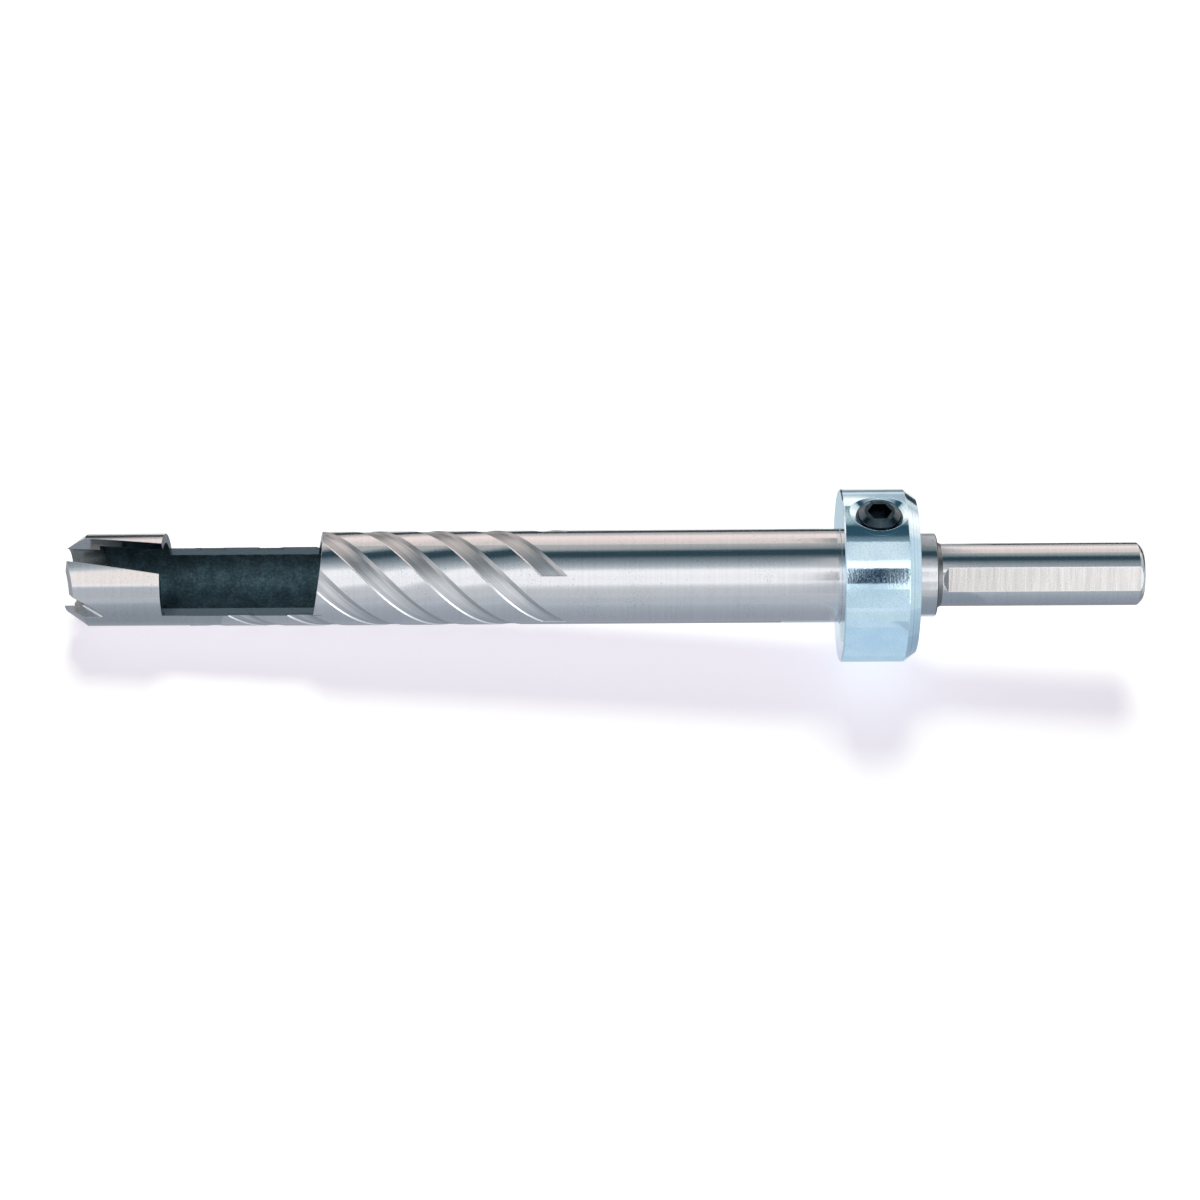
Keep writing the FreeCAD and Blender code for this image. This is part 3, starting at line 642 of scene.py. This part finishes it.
# %% The tent's shape
TENT_RADIUS, TENT_LENGTH, TENT_STEPS = 0.35, 1.2, 60
shape = bmesh.new()
ends = [shape.verts.new((x, -TENT_RADIUS, 0)) for x in (-TENT_LENGTH / 2, TENT_LENGTH / 2)]
shape.edges.new(ends)
bmesh.ops.spin(shape, geom=shape.verts[:] + shape.edges[:], cent=(0, 0, 0), axis=(-1, 0, 0),
               dvec=(0, 0, 0), angle=math.pi, steps=TENT_STEPS, use_merge=False)
tent_mesh = bpy.data.meshes.new("tent")
shape.to_mesh(tent_mesh)
shape.free()
tent = bpy.data.objects.new("tent", tent_mesh)
tent.location = MIDDLE
only_in_mirrors(tent)
print("tent in mm:", tuple(round(side / MM) for side in tent.dimensions))

# %% [markdown]
# ## The tent's cloth
# Each stop is an angle and the light that the cloth gives there, as red, green and blue. The
# bright cloth in front gives the wide pale band along the barrel, the black stretch behind the
# top gives the narrow dark one, and the warm cloth behind it gives the band near the rim.

# %% The tent's cloth
TENT_STOPS = [
    (0, (1.08, 1.06, 1.07)), (10, (1.08, 1.06, 1.07)), (20, (1.14, 1.12, 1.12)),
    (27, (1.38, 1.35, 1.32)), (32, (1.90, 1.83, 1.78)), (46, (1.84, 1.76, 1.72)),
    (56, (1.94, 1.86, 1.80)), (64, (1.96, 1.88, 1.82)), (69, (1.24, 1.24, 1.22)),
    (75, (0.88, 0.93, 0.94)), (86, (0.46, 0.52, 0.55)), (96, (0.24, 0.30, 0.33)),
    (100, (0.05, 0.11, 0.14)), (114, (0.04, 0.10, 0.13)), (117, (0.36, 0.42, 0.44)),
    (122, (0.84, 0.84, 0.80)), (131, (1.24, 1.13, 1.02)), (143, (1.42, 1.24, 1.12)),
    (154, (1.78, 1.46, 1.32)), (166, (1.86, 1.54, 1.40)), (174, (1.10, 0.98, 0.92)),
    (180, (0.70, 0.66, 0.62)),
]
BRIGHTEST = 2.0
cloth = bpy.data.materials.new("tent_cloth")
tree = bare_tree(cloth)
place = add_node(tree, "ShaderNodeSeparateXYZ",
                 Vector=add_node(tree, "ShaderNodeTexCoord").outputs["Object"])
turn = maths(tree, "ARCTAN2", place.outputs["Z"], times(tree, place.outputs["Y"], -1.0))
ramp = add_node(tree, "ShaderNodeValToRGB", Fac=maths(tree, "DIVIDE", turn, math.pi))
stops = ramp.color_ramp.elements
while len(stops) < len(TENT_STOPS):
    stops.new(0.5)
for stop, (degrees, light) in zip(stops, TENT_STOPS):
    stop.position = degrees / 180
    stop.color = (*(channel / BRIGHTEST for channel in light), 1)
glow = add_node(tree, "ShaderNodeEmission", Color=ramp.outputs["Color"], Strength=BRIGHTEST)
add_node(tree, "ShaderNodeOutputMaterial", Surface=glow.outputs[0])
tent_mesh.materials.append(cloth)
print("cloth with", len(stops), "stops")

# %% [markdown]
# ## Cards
# The tent gives the same bands over the tool's whole length. Where head, collar, neck and shank
# need others, small cards hang in front of the cloth, and only mirrors see them. A card has one
# shade, or goes from one to another over its width.

# %% Making and hanging cards
def face_tool(location):
    """The rotation that turns a lamp or a card to the tool, its X along the tool."""
    back = (location - MIDDLE).normalized()
    along_x = Vector((1, 0, 0))
    return Matrix((along_x, back.cross(along_x), back)).transposed().to_4x4()


def new_card(name, matrix, shade, far_shade=None):
    """A flat card that only mirrors see, one metre square before the matrix places it."""
    paint = bpy.data.materials.new(name + "_paint")
    tree = bare_tree(paint)
    place = add_node(tree, "ShaderNodeSeparateXYZ",
                     Vector=add_node(tree, "ShaderNodeTexCoord").outputs["Object"])
    share = maths(tree, "ADD", place.outputs["Y"], 0.5)
    colour = blend(tree, share, far_shade or shade, shade)
    glow = add_node(tree, "ShaderNodeEmission", Color=colour, Strength=1.0)
    add_node(tree, "ShaderNodeOutputMaterial", Surface=glow.outputs[0])
    card = bpy.data.objects.new(name, flat_mesh(name, 0.5))
    card.data.materials.append(paint)
    card.matrix_world = matrix
    only_in_mirrors(card)


def hang_card(name, start, end, distance, x_middle, length, shade):
    """Hangs a card that covers the angles from start to end round the tool."""
    width = 2 * distance * math.tan(math.radians(end - start) / 2)
    location = across_tool((start + end) / 2, distance)
    new_card(name, Matrix.Translation(location + Vector((x_middle, 0, 0))) @ face_tool(location)
             @ Matrix.Diagonal((length, width, 1, 1)), shade)


# %% [markdown]
# ## Cards for each part of the tool
# The polished collar even mirrors the lens of the camera, as a dark stripe between two bright
# ones, so a dark card hangs where the lens is. The low dark card draws the thin dark line along
# the upper rim of the bar. The right card is what the shank and the floors of the flutes
# mirror, and the wall card, far to the right, lights the steep front walls of the flutes.

# %% Hang the cards
# Name, start and end in degrees, then distance, middle along X and length in metres, and shade.
HANGING_CARDS = [
    ("low_dark_card", 176, 200, 0.06, 0.0, 1.2, (0.06, 0.07, 0.08)),
    ("collar_back_card", 176, 203, 0.058, 0.053, 0.026, (0.32, 0.37, 0.39)),
    ("lens_card", 37.0, 56.5, 0.33, 0.0560, 0.019, (0.01, 0.04, 0.08)),
    ("stand_card", 5.0, 37.5, 0.33, 0.061, 0.022, (0.87, 0.91, 0.93)),
    ("top_card", 66, 91, 0.33, 0.0515, 0.023, (1.12, 1.07, 1.03)),
    ("screw_card", 117, 150, 0.33, 0.0605, 0.027, (0.31, 0.40, 0.39)),
    ("neck_top_card", 140, 182, 0.32, 0.0735, 0.016, (0.62, 0.64, 0.66)),
    ("neck_front_card", 30, 60, 0.32, 0.0705, 0.009, (2.20, 2.10, 2.05)),
    ("head_card", 36, 68, 0.33, -0.141, 0.046, (1.84, 1.62, 1.46)),
    ("head_low_card", 1, 30, 0.33, -0.140, 0.060, (0.93, 0.94, 0.96)),
    ("right_card", 8, 58, 0.31, 0.147, 0.13, (1.95, 1.90, 1.87)),
    ("wall_card", 8, 48, 0.30, 0.29, 0.20, (3.60, 3.50, 3.45)),
]
for values in HANGING_CARDS:
    hang_card(*values)
print(len(HANGING_CARDS), "cards hang round the tool")

# %% [markdown]
# ## Cards on the floor
# The lower half of the bar mirrors the floor, and near the tool a real floor is darker, because
# the tool keeps light from it. Cards just above the floor give those shades, and only mirrors
# see them. The dark pair behind the tool draws the last line at its upper rim. The far pair in
# front keeps the mirrored floor neutral, since the lamp that lights it is a little green.

# %% Lay the cards
# Name, X from and to, Y from and to in metres, shade near the tool and shade far from it.
LYING_CARDS = [
    ("left_behind_card", (-0.20, 0.040), (0.041, 0.060), (0.08, 0.09, 0.10), None),
    ("right_behind_card", (0.062, 0.20), (0.041, 0.060), (0.08, 0.09, 0.10), None),
    ("under_card", (-0.10, 0.028), (-0.0050, 0.020), (0.50, 0.50, 0.54), None),
    ("shank_under_card", (0.052, 0.10), (-0.0050, 0.020), (0.46, 0.46, 0.50), None),
    ("front_card", (-0.058, 0.0355), (-0.044, -0.0050), (0.58, 0.61, 0.67), (0.94, 0.97, 1.00)),
    ("shank_front_card", (0.060, 0.11), (-0.044, -0.0050), (0.50, 0.55, 0.62), (0.88, 0.93, 0.96)),
    ("head_front_card", (-0.11, -0.058), (-0.055, -0.0050), (0.46, 0.50, 0.55), (0.84, 0.88, 0.92)),
    ("far_front_card", (-0.16, 0.0485), (-0.35, -0.0451), (0.93, 0.95, 1.00), (1.03, 1.03, 1.06)),
    ("far_shank_card", (0.060, 0.13), (-0.35, -0.0441), (0.90, 0.93, 0.97), (1.03, 1.03, 1.06)),
    ("collar_front_card", (0.0362, 0.0482), (-0.045, -0.0125), (0.80, 0.88, 0.96), None),
    ("collar_near_card", (0.0362, 0.0482), (-0.0125, -0.0040), (0.44, 0.60, 0.70), (0.74, 0.83, 0.92)),
    ("face_card", (0.0285, 0.0355), (-0.0020, 0.040), (0.58, 0.70, 0.75), None),
    ("neck_front_floor_card", (0.0485, 0.060), (-0.070, -0.0050), (0.46, 0.52, 0.60), (0.74, 0.80, 0.85)),
]
CARD_HEIGHT = 0.1 * MM
for name, (x_from, x_to), (y_from, y_to), shade, far_shade in LYING_CARDS:
    middle = Vector(((x_from + x_to) / 2, (y_from + y_to) / 2, CARD_HEIGHT))
    new_card(name, Matrix.Translation(middle) @ Matrix.Diagonal((x_to - x_from, y_to - y_from, 1, 1)),
             shade, far_shade)
print(len(LYING_CARDS), "cards lie on the floor")

# %% [markdown]
# ## The lamp that draws the shadow
# The tool's light comes from the tent, so one lamp is enough for the floor. It is a sun, which
# lights the floor evenly, and it stands behind, so the shadow falls to the front. Its wide
# angle makes the shadow soft. Mirrors don't see it, or it would burn a spot on the collar.

# %% The key lamp
KEY_ANGLE, KEY_SOFTNESS, KEY_STRENGTH, KEY_COLOUR = 130, 22, 2.0, (0.86, 0.98, 0.77)
KEY_DISTANCE = 0.6
key = bpy.data.lights.new("key", "SUN")
key.angle = math.radians(KEY_SOFTNESS)
key.energy = KEY_STRENGTH
key.color = KEY_COLOUR
key_lamp = bpy.data.objects.new("key", key)
location = across_tool(KEY_ANGLE, KEY_DISTANCE)
key_lamp.matrix_world = Matrix.Translation(location) @ face_tool(location)
key_lamp.visible_camera = False
key_lamp.visible_glossy = False
bpy.context.scene.collection.objects.link(key_lamp)
print("key lamp at", tuple(round(c, 3) for c in location))

# %% [markdown]
# ## Camera
# The picture looks down on the tool at about 47 degrees, a little from the left, with a long
# lens. The view was fitted to the tool's outlines. The camera is also rolled a little, so its
# three directions are built up by hand, which is easier to follow than three Euler angles.

# %% Camera
AZIMUTH, ELEVATION, ROLL = (math.radians(a) for a in (-2.5385, 47.4038, 3.5601))
DISTANCE = 434.2 * MM
AIM = Vector((-0.316, 0, 5.990)) * MM
SENSOR_WIDTH, LENS = 36.0, 85.11
back = Vector((math.sin(AZIMUTH) * math.cos(ELEVATION), -math.cos(AZIMUTH) * math.cos(ELEVATION),
               math.sin(ELEVATION)))
right = Vector((math.cos(AZIMUTH), math.sin(AZIMUTH), 0))
over = back.cross(right)
rolled_right = right * math.cos(ROLL) + over * math.sin(ROLL)
rolled_over = over * math.cos(ROLL) - right * math.sin(ROLL)
camera = bpy.data.objects.new("camera", bpy.data.cameras.new("camera"))
camera.data.sensor_width = SENSOR_WIDTH
camera.data.lens = LENS
camera.data.clip_start = 0.01
camera.data.clip_end = 10.0
camera.matrix_world = (Matrix.Translation(AIM + back * DISTANCE)
                       @ Matrix((rolled_right, rolled_over, back)).transposed().to_4x4())
bpy.context.scene.collection.objects.link(camera)
bpy.context.scene.camera = camera
bpy.context.scene.view_settings.view_transform = "Standard"
print("camera at", tuple(round(c, 3) for c in camera.matrix_world.translation))
